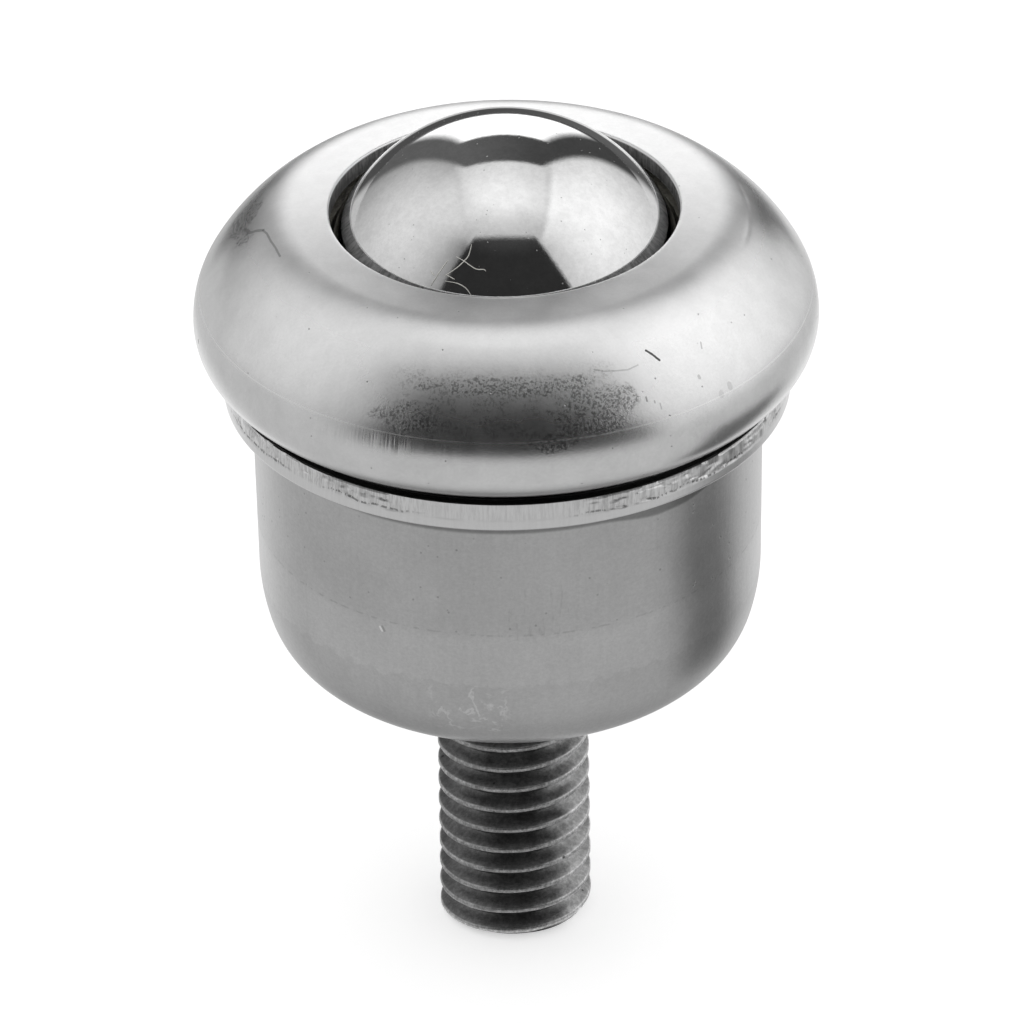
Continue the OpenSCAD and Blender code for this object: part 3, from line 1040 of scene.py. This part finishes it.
def make_floor():
    bm = bmesh.new()
    bmesh.ops.create_circle(bm, cap_ends=True, segments=FLOOR_SIDES, radius=FLOOR_R * MM)
    for v in bm.verts:
        v.co.z = FLOOR_Z * MM
    floor = finish_mesh("floor", bm)
    s = Shade(
        "floor",
        Base_Color=(FLOOR_GREY, FLOOR_GREY, FLOOR_GREY, 1),
        Roughness=1.0,
        Specular_IOR_Level=0.0,
        Emission_Color=(1, 1, 1, 1),
    )
    s.set("Emission Strength", s.times(s.largest(*s.rays()), FLOOR_GLOW))
    dress(floor, s)


def make_table():
    """A grey table under the unit, seen only in the metal, with a dark flag on it at the right."""
    bm = bmesh.new()
    around = [360 * q / TABLE_SIDES for q in range(TABLE_SIDES)]
    inner, outer = (
        [vertex(bm, r * cosine(a), r * sine(a), TABLE_Z) for a in around]
        for r in (STUD_R + 1, TABLE_R)
    )
    bridge(bm, inner, outer)
    table = finish_mesh("table", bm)
    s = Shade("table")
    x, y, _ = s.split(s.mm)
    far = s.length(x, y)
    front = s.azimuth_from(x, y)
    side = s.absolute(front)
    # brighter behind and at the right, where the window and the panels light it
    near = s.times(s.range(side, 95.0, 150.0), s.range(far, 55.0, 100.0, 0.45, 0.05))
    window = s.times(s.range(side, 148.0, 162.0), s.range(s.divide(x, far), -0.05, 0.25, 0.0, 0.3))
    panel = s.times(s.band(front, 52.0, 150.0, 8.0), s.range(far, 150.0, 400.0, 0.0, 0.16))
    level = s.plus(s.range(far, 12.0, 30.0, 0.37, 0.50), s.plus(near, window), panel)
    # dim far off in front and behind, and under the flag
    ahead = s.times(s.fall(side, 48.0, 56.0), s.range(far, 120.0, 420.0))
    behind = s.times(s.range(side, 146.0, 154.0), s.range(far, 150.0, 190.0))
    level = s.less(s.less(level, s.times(ahead, 0.92)), s.times(behind, 0.86))
    flag = s.times(s.band(front, 73.0, 108.0, 8.0), s.band(far, 26.0, 78.0, 6.0))
    emission = s.add("ShaderNodeEmission")
    s.put(emission.inputs["Strength"], s.tint(level, flag, 0.2))
    s.put(s.tree.nodes["Material Output"].inputs["Surface"], emission.outputs[0])
    dress(table, s)
    table.visible_camera = table.visible_diffuse = table.visible_shadow = False
    table.visible_transmission = table.visible_volume_scatter = False


make_cap()
make_ball()
make_body()
make_stud()
make_felt()
make_fibres()
# the race is painted almost black, as the shade in the gap between the cap and the flange
dress(nodes["race_cup"], hidden_steel("race_steel", 0.06, 0.4))
support = hidden_steel("support_steel", 0.75, 0.1)
for name, obj in nodes.items():
    if name.startswith("support_balls_row_"):
        dress(obj, support)

make_floor()
make_table()
make_world()
make_camera()
bpy.context.scene.view_settings.view_transform = "Standard"
